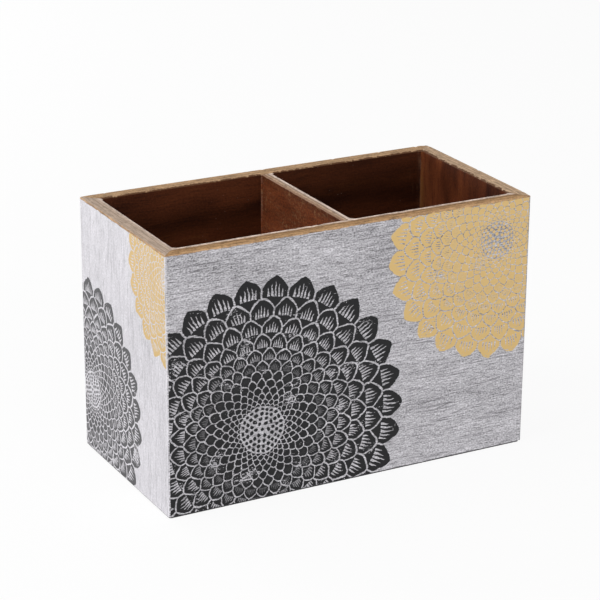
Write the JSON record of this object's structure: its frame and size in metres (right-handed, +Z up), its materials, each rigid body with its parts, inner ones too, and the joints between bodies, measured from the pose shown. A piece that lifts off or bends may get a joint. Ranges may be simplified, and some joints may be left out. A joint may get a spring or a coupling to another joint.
{
  "type": "pen stand",
  "caption": "Open rectangular desk box with mitred plywood walls and a fixed cross divider that makes side-by-side compartments for pens and pencils.",
  "frame": {"origin": "centre of the footprint, on the surface that the stand rests on", "axes": "+X along the length, +Y from the front wall to the back wall, +Z up"},
  "size_m": [0.1524, 0.0762, 0.1016],
  "materials": {
    "silvered_ply": "silver finish with block-printed rosettes in black and gold outside, dark stain inside, bare ply edge at the rim, satin lacquer",
    "stained_ply": "dark brown stain under satin lacquer",
    "flock": "short dark flock",
    "pin_steel": "plain drawn wire"
  },
  "bodies": {
    "root": {"front_panel": "silvered_ply", "back_panel": "silvered_ply", "left_panel": "silvered_ply", "right_panel": "silvered_ply", "floor_panel": "stained_ply", "divider": "stained_ply", "base_sheet": "flock", "front_left_corner_pin_low": "pin_steel", "front_left_corner_pin_high": "pin_steel", "front_right_corner_pin_low": "pin_steel", "front_right_corner_pin_high": "pin_steel", "back_left_corner_pin_low": "pin_steel", "back_left_corner_pin_high": "pin_steel", "back_right_corner_pin_low": "pin_steel", "back_right_corner_pin_high": "pin_steel", "front_divider_pin_low": "pin_steel", "front_divider_pin_high": "pin_steel", "back_divider_pin_low": "pin_steel", "back_divider_pin_high": "pin_steel", "front_floor_pin_left": "pin_steel", "front_floor_pin_right": "pin_steel", "back_floor_pin_left": "pin_steel", "back_floor_pin_right": "pin_steel", "left_floor_pin": "pin_steel", "right_floor_pin": "pin_steel"}
  },
  "joints": []
}
